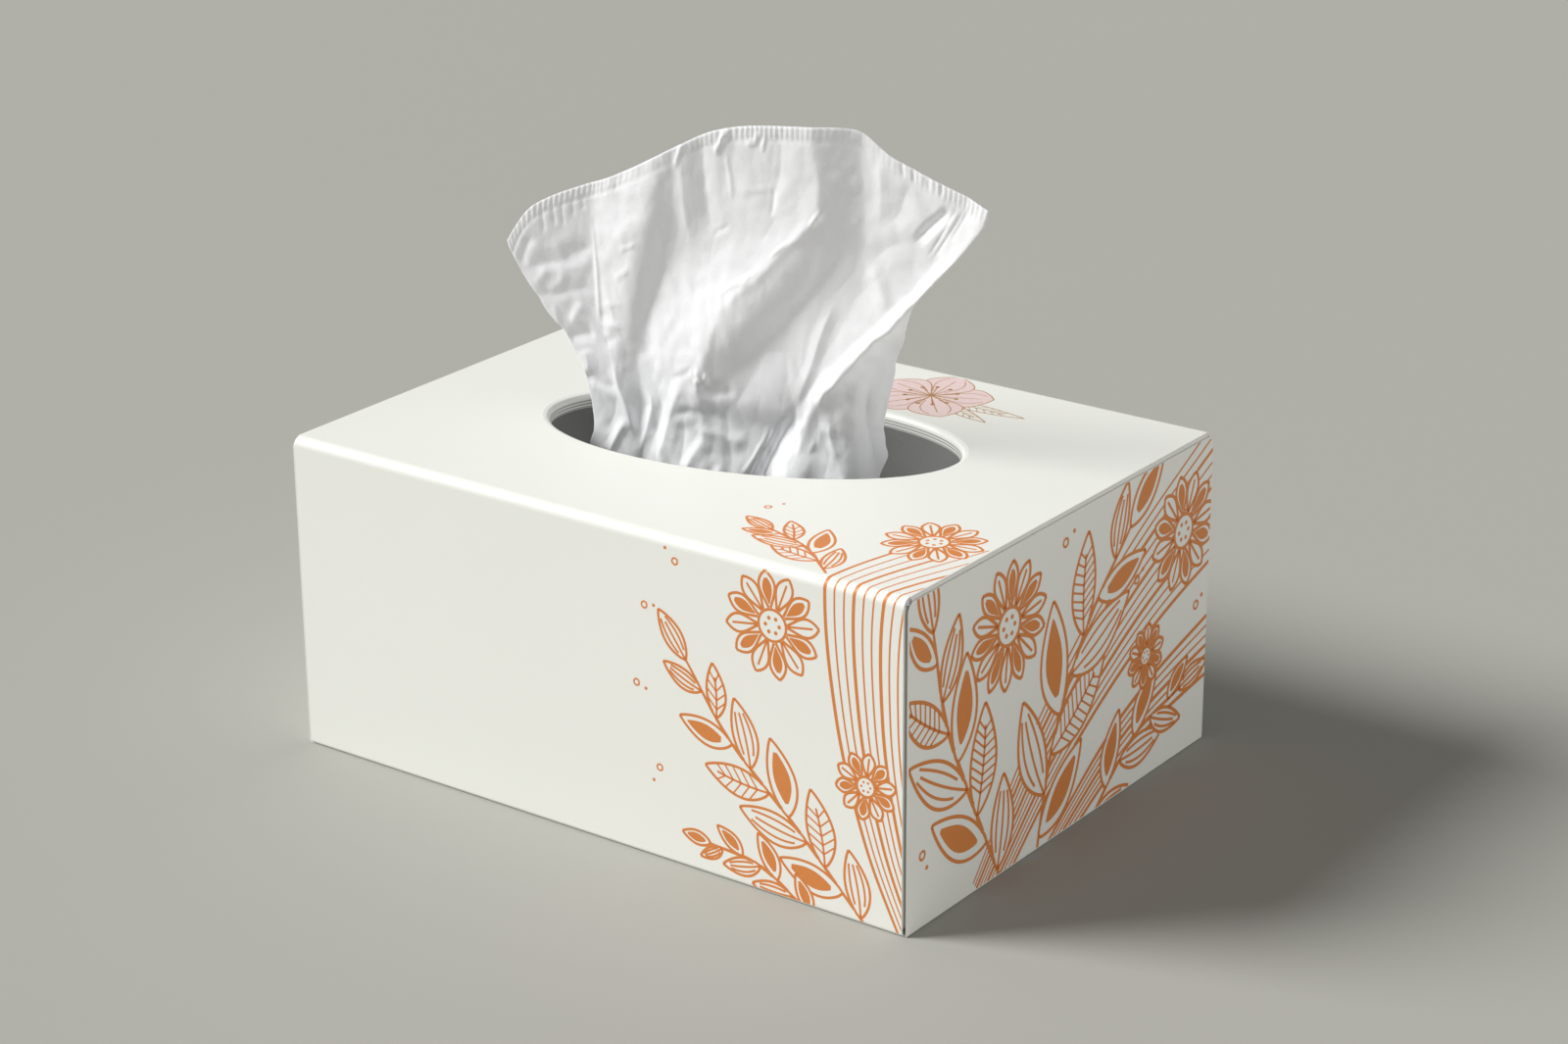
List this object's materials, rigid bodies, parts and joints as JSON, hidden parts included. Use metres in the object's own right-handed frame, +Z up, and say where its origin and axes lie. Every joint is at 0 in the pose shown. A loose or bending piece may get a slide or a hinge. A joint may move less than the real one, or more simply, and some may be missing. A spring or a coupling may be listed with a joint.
{
  "type": "tissue box",
  "caption": "Low folded-board tissue carton with an oval opening in its top, a stack of folded tissues inside and a gathered tissue drawn up through the opening.",
  "frame": {"origin": "centre of the carton's base, on the surface it stands on", "axes": "+X along the carton's length, +Y from the front panel to the back panel, +Z up"},
  "size_m": [0.2, 0.146, 0.1765],
  "materials": {
    "carton_board": "coated white folding board, satin, with an orange line print",
    "tissue_paper": "soft white two-ply tissue with a crimped edge"
  },
  "bodies": {
    "root": {"carton": "carton_board", "tissue_stack": "tissue_paper", "pulled_tissue": "tissue_paper"}
  },
  "joints": []
}
